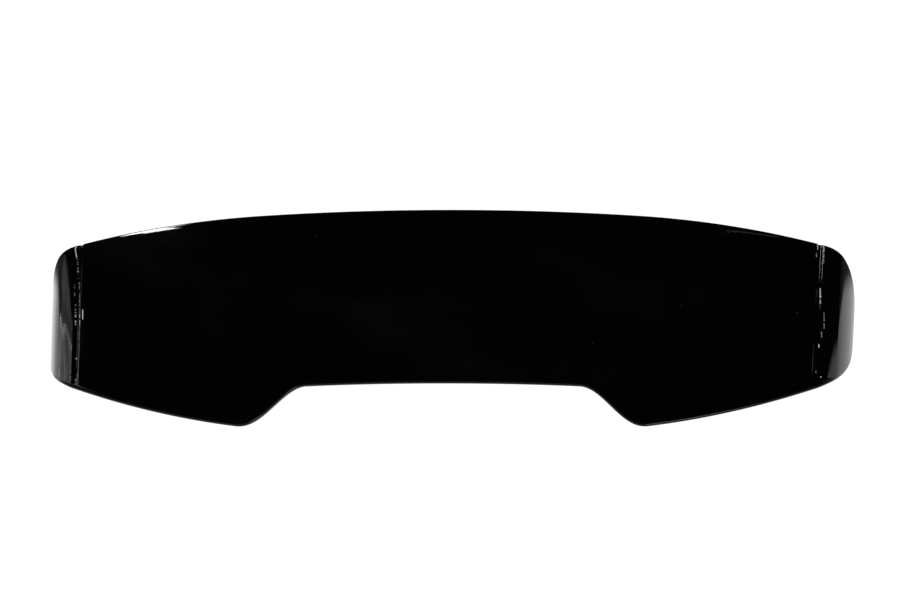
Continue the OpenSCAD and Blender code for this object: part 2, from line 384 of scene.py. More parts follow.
# %% Pattern of the wall
# The note `groove` is 1 at the outer lip of a channel and is cut off at this value
groove_limit = 3.0


def wall_pattern():
    n = len(ring)
    way = np.roll(ring, -1, 0) - np.roll(ring, 1, 0)
    way /= np.linalg.norm(way, axis=1)[:, None]
    inset = ring - edge_radius * np.column_stack([way[:, 1], -way[:, 0]])
    # The panel: each column runs from the trailing edge to the station opposite
    last_lead = 2 * columns + rows - 3
    k = np.linspace(0, 1, rows)
    start, stop = inset[:columns], inset[last_lead - np.arange(columns)]
    panel = (start[:, None] + (stop - start)[:, None] * k[None, :, None]).reshape(-1, 2)
    sink = channel(panel[:, 0], panel[:, 1])
    grid = len(panel)
    flat = np.concatenate([panel, panel] + [ring] * len(section))
    reach = np.concatenate([np.zeros(2 * grid)] + [np.full(n, q[0]) for q in section])
    ring_sink = channel(ring[:, 0], ring[:, 1])
    lift = np.concatenate([-sink, -sink - wall_t]
                          + [q[1] - ring_sink * (1 + q[1] / flange_h) for q in section])
    direction = np.concatenate([np.tile([1.0, 0.0], (2 * grid, 1))] + [way] * len(section))

    def border(j):
        """The panel's outermost point at station j."""
        if j < columns:
            return j * rows
        if j < columns + rows - 2:
            return (columns - 1) * rows + j - columns + 1
        if j <= last_lead:
            return (last_lead - j) * rows + rows - 1
        return n - j

    def edge_id(r, j):
        """Row r goes from the skin, 0, round the section to the inside of the wall."""
        j %= n
        if r == 0:
            return border(j)
        return grid + border(j) if r > len(section) else 2 * grid + (r - 1) * n + j

    faces = []
    for i in range(columns - 1):
        for r in range(rows - 1):
            a, b = i * rows + r, (i + 1) * rows + r
            faces.append((b, b + 1, a + 1, a))
            faces.append((a + grid, a + 1 + grid, b + 1 + grid, b + grid))
    for r in range(len(section) + 1):
        for j in range(n):
            faces.append((edge_id(r + 1, j), edge_id(r + 1, j + 1),
                          edge_id(r, j + 1), edge_id(r, j)))
    zero = np.zeros(len(flat))
    raw = np.concatenate([np.zeros(grid), np.ones(grid)]
                         + [np.full(n, float(r >= painted)) for r in range(len(section))])
    groove = (np.abs(flat[:, 0]) - channel_x) / (channel_w / 2)
    groove = np.clip(groove, -groove_limit, groove_limit)
    return mesh_from("wall_pattern", np.column_stack([flat, zero]), faces, {
        "direction": np.column_stack([direction, zero]), "reach": reach, "lift": lift,
        "raw_side": raw, "groove": groove})


wall = wall_pattern()
print("wall: %d points" % len(wall.vertices))

# %% [markdown]
# ## Ribs and spines
# Under the panel, twelve ribs run along the car and two spines run across it. A mould opens
# straight upwards, so they stand upright, taper to the free edge, and that edge is round.
# A rib is drawn as a bar on the flat sheet: rows of a small section, with a note of how far
# each point hangs below the skin. The ends of a rib sink into the rolled edge.

# %% Places of the ribs, spines and bosses
rib_t, rib_h = 2 * mm, 12 * mm
inner_rib_x, rib_pitch, boss_x = 60 * mm, 70 * mm, 380 * mm
spine_ys = (-40 * mm, 60 * mm)
spine_reach = channel_x - channel_w
spine_taper, spine_tip_h = spine_reach / 18, 2.4 * mm
rib_xs = [inner_rib_x, 3 * inner_rib_x] + [boss_x + i * rib_pitch for i in (-1, 0, 1, 2)]
print("ribs on each side at", [round(x / mm) for x in rib_xs], "mm")

# %% A bar on the flat sheet
# Each point of the section: share of the half thickness, share of the depth
bar_section = np.array([
    (-1, 0), (-0.95, 0.5), (-0.9, 0.95), (-0.78, 0.985), (-0.5, 1),
    (0.5, 1), (0.78, 0.985), (0.9, 0.95), (0.95, 0.5), (1, 0)])


def length_at(x, y):
    """Length along the skin line for a point of the plan between the channels."""
    return crown_r * np.arcsin(x / (1 + skin_sizes["Widening"] * y) / crown_r)


def bar(tops, bottoms, depths, side):
    """Points and faces of a bar. The rows of tops and bottoms are places in plan."""
    share, depth_share = bar_section.T
    plan = tops[:, None] + (bottoms - tops)[:, None] * depth_share[None, :, None]
    plan = plan + (share * rib_t / 2)[None, :, None] * np.array(side)[None, None, :]
    depth = depths[:, :1] + (depths[:, 1:] - depths[:, :1]) * depth_share[None, :]
    n, m = depth.shape
    faces = [tuple(range(m)), tuple((n - 1) * m + i for i in reversed(range(m)))]
    for k in range(n - 1):
        for i in range(m):
            a, b = k * m + i, k * m + (i + 1) % m
            faces.append((a, a + m, b + m, b))
    flat = np.stack([length_at(plan[..., 0], plan[..., 1]), plan[..., 1]], axis=-1)
    return flat.reshape(-1, 2), depth.ravel(), faces


# %% Ribs and spines as bars
# Rows at a rib's end: distance of the top and of the foot from the outline, depth of the top
rib_end = np.array([(2.2, 3.9, 3.6), (3.75, 6, 2.1), (6, 9, 1.5)]) * mm
rib_end_len, rib_rows, spine_rows = 13 * mm, 30, 60


def edge_place(edge, x):
    """Where an edge lies at x in plan. Five rounds settle it."""
    y = 0.0
    for _ in range(5):
        y = float(edge(length_at(x, y)))
    return y


def cross_rib(x):
    back_y, front_y = edge_place(trail, x), edge_place(lead, x)
    middle = np.linspace(back_y + rib_end_len, front_y - rib_end_len, rib_rows)
    top_y, foot_y = (np.concatenate([back_y + away, middle, front_y - away[::-1]])
                     for away in rib_end[:, :2].T)
    xs = np.full(len(top_y), x)
    top_depth = np.full(len(xs), wall_t / 2)
    top_depth[:3], top_depth[-3:] = rib_end[:, 2], rib_end[::-1, 2]
    return bar(np.column_stack([xs, top_y]), np.column_stack([xs, foot_y]),
               np.column_stack([top_depth, np.full(len(xs), rib_h)]), (1, 0))


def spine(y):
    full_x = spine_reach - spine_taper
    half = np.concatenate([np.linspace(0, full_x, spine_rows),
                           [spine_reach - spine_taper / 2, spine_reach]])
    x = np.concatenate([-half[:0:-1], half])
    foot = np.interp(np.abs(x), [full_x, spine_reach], [rib_h, spine_tip_h])
    plan = np.column_stack([x, np.full(len(x), y)])
    return bar(plan, plan, np.column_stack([np.full(len(x), wall_t / 2), foot]), (0, -1))


# %% Patterns of the ribs and spines
def raw_notes(count):
    """For unpainted points away from the channels."""
    return {"raw_side": np.ones(count), "groove": np.full(count, groove_limit)}


def bars_mesh(name, bars):
    flats, depths, faces, start = [], [], [], 0
    for flat, depth, bar_faces in bars:
        faces += [tuple(start + i for i in face) for face in bar_faces]
        flats.append(flat)
        depths.append(depth)
        start += len(flat)
    flat, depth = np.concatenate(flats), np.concatenate(depths)
    return mesh_from(name, np.column_stack([flat, np.zeros(start)]), faces,
                     {"depth": depth, **raw_notes(start)})


ribs = bars_mesh("rib_pattern", [cross_rib(side * x) for x in rib_xs for side in (-1, 1)])
spines = bars_mesh("spine_pattern", [spine(y) for y in spine_ys])
print("ribs and spines: %d and %d points" % (len(ribs.vertices), len(spines.vertices)))

# %% [markdown]
# ## Bosses
# Four bosses hold the inserts. A boss is a plain turned form: a closed profile swept round
# an axis. Its blind hole is part of the profile, so no cut is needed. Its top ends inside
# the wall, and its mouth has a small chamfer.

# %% Boss
boss_z, boss_r, boss_h = 72 * mm, 9 * mm, 29.5 * mm
insert_r, insert_len, hole_spare = 4.5 * mm, 12 * mm, 2 * mm
hole_h, mouth_chamfer = insert_len + hole_spare, 0.3 * mm
# The free end has a bevelled rim, and above it a slight taper
bevel_w, bevel_h, taper_w, taper_h = (v * mm for v in (0.8, 0.6, 0.2, 6))
boss_profile = [
    (0, hole_h), (insert_r, hole_h), (insert_r, mouth_chamfer), (insert_r + mouth_chamfer, 0),
    (boss_r - bevel_w, 0), (boss_r - taper_w, bevel_h), (boss_r, taper_h),
    (boss_r, boss_h), (0, boss_h)]
boss_steps = 72


def lathe(profile, steps):
    """Points and faces of a profile of (radius, height) from the axis to the axis."""
    points, rings = [], []
    for radius, height in profile:
        if radius == 0:
            rings.append([len(points)] * steps)
            points.append((0, 0, height))
            continue
        rings.append([len(points) + i for i in range(steps)])
        points += [(radius * math.cos(a), radius * math.sin(a), height)
                   for a in np.linspace(0, 2 * math.pi, steps, endpoint=False)]
    faces = []
    for low, high in zip(rings, rings[1:]):
        for i in range(steps):
            j = (i + 1) % steps
            # On the axis two corners are one point, and the face is a triangle
            faces.append(tuple(dict.fromkeys((low[i], low[j], high[j], high[i]))))
    return np.array(points), faces


boss_points, boss_faces = lathe(boss_profile, boss_steps)
boss = mesh_from("boss", boss_points, boss_faces, raw_notes(len(boss_points)))
spots = np.array([(x, y, boss_z) for x in (-boss_x, boss_x) for y in spine_ys])
print("boss: %d faces, at %d places" % (len(boss_faces), len(spots)))

# %% [markdown]
# ## Pressing and joining
# One tree presses the wall, hangs the ribs and spines straight down from the skin, puts a
# boss on each spot, and joins them all into one closed solid, as the mould did. `new_tree`
# and `close_tree` are the start and the end of any such tree, and `grow` runs one.

# %% Tools for geometry trees
def new_tree(name, numbers, *others):
    """A tree from geometry to geometry, with the named inputs."""
    tree = bpy.data.node_groups.new(name, "GeometryNodeTree")
    add_socket(tree, "Geometry", "NodeSocketGeometry")
    for label, value in numbers.items():
        add_socket(tree, label, "NodeSocketFloat", value)
    for label, kind in others:
        add_socket(tree, label, kind)
    add_socket(tree, "Geometry", "NodeSocketGeometry", way="OUTPUT")
    return tree, tree.nodes.new("NodeGroupInput").outputs


def close_tree(tree, geometry, material):
    """Every tree ends in Realize Instances and Set Material."""
    real = put(tree, "GeometryNodeRealizeInstances", {0: geometry})
    made = put(tree, "GeometryNodeSetMaterial", {
        "Geometry": real.outputs[0], "Material": material})
    tree.links.new(made.outputs[0], tree.nodes.new("NodeGroupOutput").inputs[0])


def grow(name, mesh, tree, values):
    """Runs a tree on a mesh and keeps the result as a plain mesh."""
    made = bpy.data.objects.new(name, mesh)
    scene.collection.objects.link(made)
    modifier = made.modifiers.new(tree.name, "NODES")
    modifier.node_group = tree
    for socket in tree.interface.items_tree:
        if socket.in_out == "INPUT" and socket.name in values:
            modifier[socket.identifier] = values[socket.name]
    shown = made.evaluated_get(bpy.context.evaluated_depsgraph_get())
    result = bpy.data.meshes.new_from_object(shown)
    made.modifiers.clear()
    result.materials.clear()
    result.materials.append(values["Material"])
    result.polygons.foreach_set("material_index", [0] * len(result.polygons))
    made.data = result
    print("%s: %d faces" % (name, len(result.polygons)))
    return made


# %% The tree that presses and joins
def read(tree, label, kind="FLOAT"):
    made = put(tree, "GeometryNodeInputNamedAttribute", {"Name": label}, data_type=kind)
    return made.outputs[0]


def pressed(tree, inputs, direction):
    sizes = {label: inputs[label] for label in skin_sizes}
    flat_place = put(tree, "GeometryNodeInputPosition").outputs[0]
    made = put(tree, "GeometryNodeGroup", {
        **sizes, "Flat place": flat_place, "Direction": direction}, node_tree=press)
    return made.outputs


def taken(tree, thing):
    return put(tree, "GeometryNodeObjectInfo", {"Object": thing}).outputs["Geometry"]


def make_shell_tree():
    tree, inputs = new_tree(
        "press_and_join", skin_sizes,
        *((label, "NodeSocketObject") for label in ("Ribs", "Spines", "Boss", "Spots")),
        ("Material", "NodeSocketMaterial"))
    skin = pressed(tree, inputs, read(tree, "direction", "FLOAT_VECTOR"))
    place = vec(tree, "ADD", skin["Skin place"],
                vec(tree, "SCALE", skin["Outwards"], scale=read(tree, "reach")))
    place = vec(tree, "ADD", place, vec(tree, "SCALE", skin["Up"], scale=read(tree, "lift")))
    wall = put(tree, "GeometryNodeSetPosition", {
        "Geometry": inputs["Geometry"], "Position": place})
    skin = pressed(tree, inputs, (1, 0, 0))
    hung = vec(tree, "SUBTRACT", skin["Skin place"], combine(tree, z=read(tree, "depth")))
    solids = [wall.outputs[0]]
    for label in ("Ribs", "Spines"):
        bars = put(tree, "GeometryNodeSetPosition", {
            "Geometry": taken(tree, inputs[label]), "Position": hung})
        solids.append(bars.outputs[0])
    bosses = put(tree, "GeometryNodeInstanceOnPoints", {
        "Points": taken(tree, inputs["Spots"]), "Instance": taken(tree, inputs["Boss"])})
    solids.append(put(tree, "GeometryNodeRealizeInstances", {0: bosses.outputs[0]}).outputs[0])
    joined = put(tree, "GeometryNodeMeshBoolean", operation="UNION", solver="MANIFOLD")
    for solid in solids:
        tree.links.new(solid, joined.inputs[1])
    smooth = put(tree, "GeometryNodeSetShadeSmooth", {"Geometry": joined.outputs[0]})
    close_tree(tree, smooth.outputs[0], inputs["Material"])
    return tree


# %% The shell
spot_mesh = mesh_from("boss_spots", spots, [], {})
# Objects that only feed the tree
helpers = {label: bpy.data.objects.new(mesh.name, mesh) for label, mesh in (
    ("Ribs", ribs), ("Spines", spines), ("Boss", boss), ("Spots", spot_mesh))}
black = bpy.data.materials.new("gloss_black_paint")
black.use_nodes = True
shell = grow("spoiler_shell_painted", wall, make_shell_tree(),
             {**skin_sizes, **helpers, "Material": black})
shell.data.set_sharp_from_angle(angle=math.radians(38))

# %% [markdown]
# ## Threaded inserts
# Each boss holds a turned brass insert with an M6 thread. Round its barrel, fine straight
# ridges bite into the plastic above and below a groove. Its surface is a closed grid: rows
# run up the outside, over the top and down the bore, and each row goes once round the axis.
# The ridges and the thread are small shifts of the radius, and the thread's shift depends
# on angle and height together, which is what makes a helix.

# %% Insert
thread_r, thread_d, thread_pitch = 2.5 * mm, 0.55 * mm, 1 * mm
relief_d, relief_w, relief_slope = 0.6 * mm, insert_len / 5, 0.3 * mm
end_chamfer, bore_chamfer = 0.4 * mm, 0.7 * mm
ridge_n, ridge_d = 24, 0.25 * mm
around = 4 * ridge_n
barrel_rows, relief_rows, bore_rows = 5, 3, 86


def triangle(t):
    """A zigzag from 1 to 0 and back, once in each unit of t."""
    return np.abs(2 * (t - np.floor(t)) - 1)


def barrel(radius, start, stop, count, ridge=0):
    return [(radius, z, ridge, 0) for z in np.linspace(start, stop, count)]


def insert_rows():
    """Rows as (radius, height, share of the ridges, share of the thread)."""
    low, high = (insert_len - relief_w) / 2, (insert_len + relief_w) / 2
    face_in, face_out = thread_r + bore_chamfer, insert_r - end_chamfer
    made = [(face_in, 0, 0, 0), (face_out, 0, 0, 0)]
    made += barrel(insert_r, end_chamfer, low - relief_slope, barrel_rows, 1)
    made += barrel(insert_r - relief_d, low, high, relief_rows)
    made += barrel(insert_r, high + relief_slope, insert_len - end_chamfer, barrel_rows, 1)
    made += [(face_out, insert_len, 0, 0), (face_in, insert_len, 0, 0)]
    bore = np.linspace(insert_len - bore_chamfer, bore_chamfer, bore_rows)
    full = np.clip(np.minimum(bore, insert_len - bore) / thread_pitch - 0.5, 0, 1)
    return made + [(thread_r, z, 0, share) for z, share in zip(bore, full)]


# %% Surface of an insert
def insert_mesh():
    rows = insert_rows()
    radius, height, ridge, thread = (np.array(column)[:, None] for column in zip(*rows))
    turns = np.arange(around)[None, :] / around
    r = (radius - ridge * ridge_d * triangle(turns * ridge_n)
         + thread * thread_d * triangle(height / thread_pitch - turns))
    angle = 2 * np.pi * turns
    points = np.stack([r * np.cos(angle), r * np.sin(angle), height + 0 * r], axis=-1)
    faces = []
    for j in range(len(rows)):
        low, high = j * around, (j + 1) % len(rows) * around
        for i in range(around):
            k = (i + 1) % around
            faces.append((low + i, low + k, high + k, high + i))
    return mesh_from("insert", points.reshape(-1, 3), faces, {})


insert = insert_mesh()
print("insert: %d points" % len(insert.vertices))

# %% An insert on each spot
def make_repeat_tree():
    tree, inputs = new_tree("one_on_each_spot", {}, ("Piece", "NodeSocketObject"),
                            ("Material", "NodeSocketMaterial"))
    copies = put(tree, "GeometryNodeInstanceOnPoints", {
        "Points": inputs["Geometry"], "Instance": taken(tree, inputs["Piece"])})
    close_tree(tree, copies.outputs[0], inputs["Material"])
    return tree


brass = bpy.data.materials.new("turned_brass")
brass.use_nodes = True
insert_piece = bpy.data.objects.new("insert", insert)
inserts = grow("threaded_inserts_turned", spot_mesh.copy(), make_repeat_tree(),
               {"Piece": insert_piece, "Material": brass})
inserts.data.set_sharp_from_angle(angle=math.radians(30))
for thing in [*helpers.values(), insert_piece]:
    bpy.data.objects.remove(thing)

# %% [markdown]
# ## Small tools for shaders
# A finish is a stack of soft masks. `fade` turns a value into a mask, `noise` gives uneven
# patches in the object's own coordinates, and `blend` mixes two colours by a mask.

# %% Tools for shaders
def fade(tree, value, start, stop, low=0.0, high=1.0):
    """Goes softly from `low` at `start` to `high` at `stop`."""
    made = put(tree, "ShaderNodeMapRange", {
        "Value": value, "From Min": start, "From Max": stop, "To Min": low, "To Max": high},
        interpolation_type="SMOOTHSTEP")
    return made.outputs[0]


def place_on(tree, stretch_by=(1, 1, 1)):
    made = put(tree, "ShaderNodeTexCoord").outputs["Object"]
    return vec(tree, "MULTIPLY", made, stretch_by)


def noise(tree, place, scale, detail=2.0, distortion=0.0):
    made = put(tree, "ShaderNodeTexNoise", {
        "Vector": place, "Scale": scale, "Detail": detail, "Distortion": distortion})
    return made.outputs["Fac"]


def note_on(tree, label):
    return put(tree, "ShaderNodeAttribute", attribute_name=label).outputs["Fac"]


def blend(tree, mask, low, high):
    colours = [c if isinstance(c, bpy.types.NodeSocket) else (*c, 1) for c in (low, high)]
    made = put(tree, "ShaderNodeMix", {0: mask, 6: colours[0], 7: colours[1]}, data_type="RGBA")
    return made.outputs[2]


def bumped(tree, height, depth, strength, normal=None):
    inputs = {"Height": height, "Distance": depth, "Strength": strength}
    if normal is not None:
        inputs["Normal"] = normal
    return put(tree, "ShaderNodeBump", inputs).outputs[0]


def dress(material, inputs):
    fill(material.node_tree, material.node_tree.nodes["Principled BSDF"], inputs)


# %% [markdown]
# ## Gloss black paint
# Black gloss shows almost nothing of itself: it is a mirror that gives back four per cent
# of what it faces, and more at a glancing angle. So the base colour is nearly black, the
# roughness is low, and the life comes from small faults. Sprayed paint has orange peel,
# waves about 4 mm long and a few thousandths of a millimetre high. Dust lies on it in
# faint single specks. The inside was never painted: there the note `raw_side` fades to
# matt grained plastic.

# %% Painted side, specks and dust
paint = black.node_tree
raw = fade(paint, note_on(paint, "raw_side"), 0.3, 0.7)
skin = calc(paint, "SUBTRACT", 1.0, raw)


def scattered(scale, edge, core, strength):
    """Round spots, one in each cell. Edge and core are radii in cells."""
    cells = put(paint, "ShaderNodeTexVoronoi", {"Vector": place_on(paint), "Scale": scale})
    return fade(paint, cells.outputs["Distance"], edge, core, high=strength)


speck_scale, dust_scale = 18.0, 130.0
specks = scattered(speck_scale, 0.022, 0.008, 0.06)
fine_dust = scattered(dust_scale, 0.05, 0.02, 0.03)
print("a speck in each %.0f mm" % (1000 / speck_scale))

# %% [markdown]
# ## Painted glints in the channels
# Pale broken lines are painted along both channels. They are painted highlights of the
# channel lips, and partly dust. In places a line is a solid run, elsewhere a row of beads,
# and there are a few drops. A run is a straight line between two points. Each is given by
# its place across the channel, where the note `groove` is 1 at the outer lip, and its place
# along the car. Beads are the same line seen through a fine noise.

# %% Runs and drops of painted glints
# Side of the car, place across and along (mm) of the front end and the rear end, thickness
solid_glint_runs = (
    (-1, 1.48, 116, 0.87, 99, 0.9), (-1, -1.62, 13, -1.73, -2, 0.9),
    (1, -0.72, 124, -0.72, 111, 0.9), (1, 0.97, 124, 1.0, 107, 0.7),
    (1, 0.47, 48, 0.56, 32, 0.9), (1, 0.72, -41, 0.76, -46, 0.9))
beaded_glint_runs = (
    (-1, 0.87, 99, 0.6, 91, 0.6), (-1, 0.6, 91, 0.29, 65, 0.6), (-1, 0.1, 58, -0.45, 29, 0.8),
    (-1, -0.45, 29, -0.95, -14, 1.0), (-1, -0.57, -19, -0.73, -33, 0.7),
    (-1, 1.01, 55, 0.86, 34, 0.3), (-1, 0.61, 23, 0.45, -10, 0.6),
    (1, -1.05, 105, -1.0, 96, 0.5), (1, 1.0, 107, 1.03, 88, 0.5),
    (1, 0.56, 32, 0.62, 14, 0.8), (1, 1.7, 11, 1.99, -17, 0.5), (1, 1.27, -22, 1.42, -34, 0.5))
# Place of each drop in plan (mm)
glint_and_dust_drops = ((-548, -62), (-543, -95), (554, -91))
print("polish: %d solid and %d beaded runs, %d drops" % (
    len(solid_glint_runs), len(beaded_glint_runs), len(glint_and_dust_drops)))

# %% Painted glints and dust on the paint
run_edge, run_core = 0.18, 0.06
drop_edge, drop_core = 1.1 * mm, 0.6 * mm
end_fade = 1
spot = split(paint, place_on(paint))
groove = note_on(paint, "groove")
broken = fade(paint, noise(paint, place_on(paint, (4, 60, 4)), 1.0, 2.0), 0.42, 0.55, 0.4, 1.0)
glint_beads = fade(paint, noise(paint, place_on(paint, (30, 420, 30)), 1.0, 1.0), 0.44, 0.58)
glint_beads = times(paint, broken, glint_beads)
# Painted highlights along the channel lips, partly dust, built up one run at a time
lip_glints_and_dust = 0.0
for runs, pattern in ((solid_glint_runs, 1.0), (beaded_glint_runs, glint_beads)):
    for side, groove_a, y_a, groove_b, y_b, thick in runs:
        middle = put(paint, "ShaderNodeMapRange", {
            "Value": spot["Y"], "From Min": y_b * mm, "From Max": y_a * mm,
            "To Min": groove_b, "To Max": groove_a}).outputs[0]
        off = calc(paint, "ABSOLUTE", calc(paint, "SUBTRACT", groove, middle))
        on_side = calc(paint, "GREATER_THAN", calc(paint, "MULTIPLY", spot["X"], side), 0.0)
        run = times(paint, fade(paint, off, run_edge, run_core), on_side, thick, pattern,
                    fade(paint, spot["Y"], (y_b - end_fade) * mm, (y_b + end_fade) * mm),
                    fade(paint, spot["Y"], (y_a + end_fade) * mm, (y_a - end_fade) * mm))
        lip_glints_and_dust = calc(paint, "MAXIMUM", lip_glints_and_dust, run)
for drop_x, drop_y in glint_and_dust_drops:
    away = vec(paint, "DISTANCE", place_on(paint, (1, 1, 0)), (drop_x * mm, drop_y * mm, 0), out=1)
    lip_glints_and_dust = calc(paint, "MAXIMUM", lip_glints_and_dust, fade(paint, away, drop_edge, drop_core))
lip_glints_and_dust = times(paint, lip_glints_and_dust, skin)
print("paint so far: %d nodes" % len(paint.nodes))

# %% Layers of the paint
# The pale colour is that of dust and specks, and of the painted highlights in the channels
paint_black, dust_and_glint_white = (0.0004, 0.0004, 0.00045), (0.6, 0.6, 0.58)
plastic_dark, plastic_light = (0.011, 0.011, 0.012), (0.018, 0.018, 0.019)
peel_scale, peel_h, peel_strength = 230.0, 0.2 * mm, 0.09
grain_scale, grain_h, grain_strength = 1500.0, 0.1 * mm, 0.6
raw_roughness, pale_roughness = 0.5, 0.6

# Pale marks: real dust and specks, and the painted highlights along the channels
pale = calc(paint, "MAXIMUM", calc(paint, "MAXIMUM", specks, fine_dust), lip_glints_and_dust)
pale = times(paint, pale, calc(paint, "MAXIMUM", skin, 0.2))
moulded = blend(paint, noise(paint, place_on(paint), 35.0), plastic_dark, plastic_light)
body = blend(paint, raw, paint_black, moulded)
haze = noise(paint, place_on(paint, (1, 3, 1)), 9.0, 4.0)
gloss_roughness = fade(paint, haze, 0.35, 0.75, 0.015, 0.045)
roughness = calc(paint, "ADD", times(paint, gloss_roughness, skin),
                 times(paint, raw, raw_roughness))
roughness = calc(paint, "MAXIMUM", roughness, times(paint, pale, pale_roughness))
peel = bumped(paint, noise(paint, place_on(paint), peel_scale, 1.0), peel_h,
              times(paint, skin, peel_strength))
grain = bumped(paint, noise(paint, place_on(paint), grain_scale), grain_h,
               times(paint, raw, grain_strength), peel)
dress(black, {"Base Color": blend(paint, pale, body, dust_and_glint_white),
              "Roughness": roughness, "Normal": grain})
print("orange peel: waves %.1f mm long" % (1000 / peel_scale))

# %% [markdown]
# ## Turned brass
# The inserts come off a lathe with fine rings, and handling has browned them in patches.

# %% Turned brass
metal = brass.node_tree
brass_bright, brass_brown = (0.72, 0.52, 0.24), (0.40, 0.26, 0.12)
ring_h = 0.03 * mm
tarnish = fade(metal, noise(metal, place_on(metal), 260.0, 4.0), 0.42, 0.66)
rings = noise(metal, place_on(metal, (1, 1, 40)), 90.0, 1.0)
dress(brass, {"Metallic": 1.0, "Base Color": blend(metal, tarnish, brass_bright, brass_brown),
              "Roughness": fade(metal, tarnish, 0.0, 1.0, 0.22, 0.42),
              "Normal": bumped(metal, rings, ring_h, 0.5)})
print("brass: %d nodes" % len(metal.nodes))

# %% [markdown]
# ## Studio
# The part lies on white paper. The panel faces a dark ceiling, so it stays black, and the
# cheeks face pale cloths, so they turn grey. What gloss mirrors decides the picture, so
# the room is drawn by direction. `ahead` and `rise` are a direction's ways forwards and up,
# divided by its way to the side, so the pair names a spot on a side wall. `front_x` and
# `front_z` do the same for the wall ahead, and `rear_x` and `rear_z` for the wall behind.
# Each mask fades from 0 at its first number to 1 at its second.

# %% Directions in the room
world = bpy.data.worlds.new("studio")
scene.world = world
world.use_nodes = True
room = world.node_tree
room.nodes.clear()
heading = put(room, "ShaderNodeTexCoord").outputs["Generated"]
x, y, z = split(room, heading)


def spot_on_wall(distance, *ways):
    """The ways divided by the distance, which is kept above nought."""
    distance = calc(room, "MAXIMUM", distance, 0.01)
    return [calc(room, "DIVIDE", way, distance) for way in ways]


ahead, rise = spot_on_wall(calc(room, "ABSOLUTE", x), y, z)
front_x, front_z = spot_on_wall(y, x, z)
rear_x, rear_z = spot_on_wall(calc(room, "MULTIPLY", y, -1.0), x, z)

# %% [markdown]
# ## Cloths at the sides
# A cloth hangs on each side. It starts level with the part, ends a little ahead of it and
# reaches 52 degrees up, with faint streaks. On the left it hangs in two sheets, a dim far
# one and a bright near one that meet at a slant, with a pale fold along the meeting line.

# %% Both side cloths
cloth_top, cloth_start = (1.285, 1.262), (-0.08, 0.06)
cloth_area = times(room, fade(room, rise, *cloth_top), fade(room, ahead, *cloth_start))
streaks = noise(room, combine(room, rise, times(room, ahead, 5.0)), 3.0, 3.0, 1.2)
streaks = fade(room, streaks, 0.35, 0.65, 0.7, 1.25)
right_level = calc(room, "MULTIPLY_ADD", streaks, 0.2, 0.65)
right_cloth = times(room, cloth_area, fade(room, x, 0.05, 0.15),
                    fade(room, ahead, 0.20, 0.165), right_level)
print("cloths: up to %.0f degrees" % math.degrees(math.atan(cloth_top[0])))

# %% The two sheets on the left
# A line of equal `slant` leans forwards as it rises
slant_rate, edge_rate, upright_below = -0.14, -0.1, 0.3
far_start, meeting_line, fold_line = (0.2, 0.24), (0.196, 0.184), (0.165, 0.18)
leaning = calc(room, "MAXIMUM", rise, upright_below)
slant = calc(room, "MULTIPLY_ADD", leaning, slant_rate, ahead)
far_sheet = times(room, fade(room, slant, *far_start, 0.42, 0.62),
                  fade(room, rise, 0.08, 0.22, 0.4, 1.0))
near_sheet = times(room, fade(room, slant, 0.15, 0.08, 1.05, 1.35),
                   fade(room, rise, 0.4, 0.0, 1.0, 1.5))
near_sheet = calc(room, "ADD", near_sheet, fade(room, slant, *fold_line, 0.0, 0.9))
near_sheet = times(room, near_sheet, fade(room, slant, *meeting_line))
left_level = times(room, calc(room, "MAXIMUM", far_sheet, near_sheet), streaks)
left_edge = calc(room, "MULTIPLY_ADD", rise, edge_rate, ahead)
left_cloth = times(room, cloth_area, fade(room, x, -0.05, -0.15),
                   fade(room, left_edge, 0.325, 0.285), left_level)
print("left sheets meet at slant", meeting_line)

# %% [markdown]
# ## Ahead and behind
# A leaning window at the front left lies along the leading edge as a white sliver, and a
# thin sloping rail at the front right draws the faint line along the outer part of the
# right leading edge. Behind the camera are a dim wall and the glow of a far lamp.

# %% Window, rail, rear wall and far lamp
window_level, rail_level, rear_level, far_lamp_level = 28.0, 0.5, 0.22, 1.8
window_left, window_right = (-0.605, -0.59), (-0.475, -0.49)
window_foot, window_head = (0.10, 0.14), (1.65, 1.61)
leaning_x = calc(room, "MULTIPLY_ADD", front_z, 0.33, front_x)
window = times(room, fade(room, leaning_x, *window_left), fade(room, leaning_x, *window_right),
               fade(room, front_z, *window_foot), fade(room, front_z, *window_head),
               window_level)

rail_z, rail_left, rail_right = 2.08, (0.56, 0.60), (0.74, 0.71)
off_rail = calc(room, "SUBTRACT", calc(room, "MULTIPLY_ADD", front_x, 0.5, front_z), rail_z)
rail = times(room, fade(room, calc(room, "ABSOLUTE", off_rail), 0.05, 0.02),
             fade(room, front_x, *rail_left), fade(room, front_x, *rail_right), rail_level)

rear_wall = times(room, fade(room, y, -0.1, -0.5), fade(room, z, 0.72, 0.02), rear_level)
lamp_x, lamp_z = 0.38, 0.15
from_lamp = vec(room, "LENGTH", combine(
    room, calc(room, "SUBTRACT", rear_x, lamp_x), calc(room, "SUBTRACT", rear_z, lamp_z)), out=1)
far_lamp = fade(room, from_lamp, 0.35, 0.1, high=far_lamp_level)
print("window: %.0f times as bright as white" % window_level)

# %% [markdown]
# ## The room put together
# Only what gloss mirrors sees this room. Other rays meet a plain pale dome, and a camera
# ray that misses everything sees white.

# %% Ceiling and the whole room
level = fade(room, noise(room, heading, 4.0, 3.0), 0.48, 0.78, 0.006, 0.05)
for part in (left_cloth, right_cloth, rear_wall, window, rail, far_lamp):
    level = calc(room, "MAXIMUM", level, part)


def light_of(strength):
    return put(room, "ShaderNodeBackground", {
        "Color": (1, 1, 1, 1), "Strength": strength}).outputs[0]


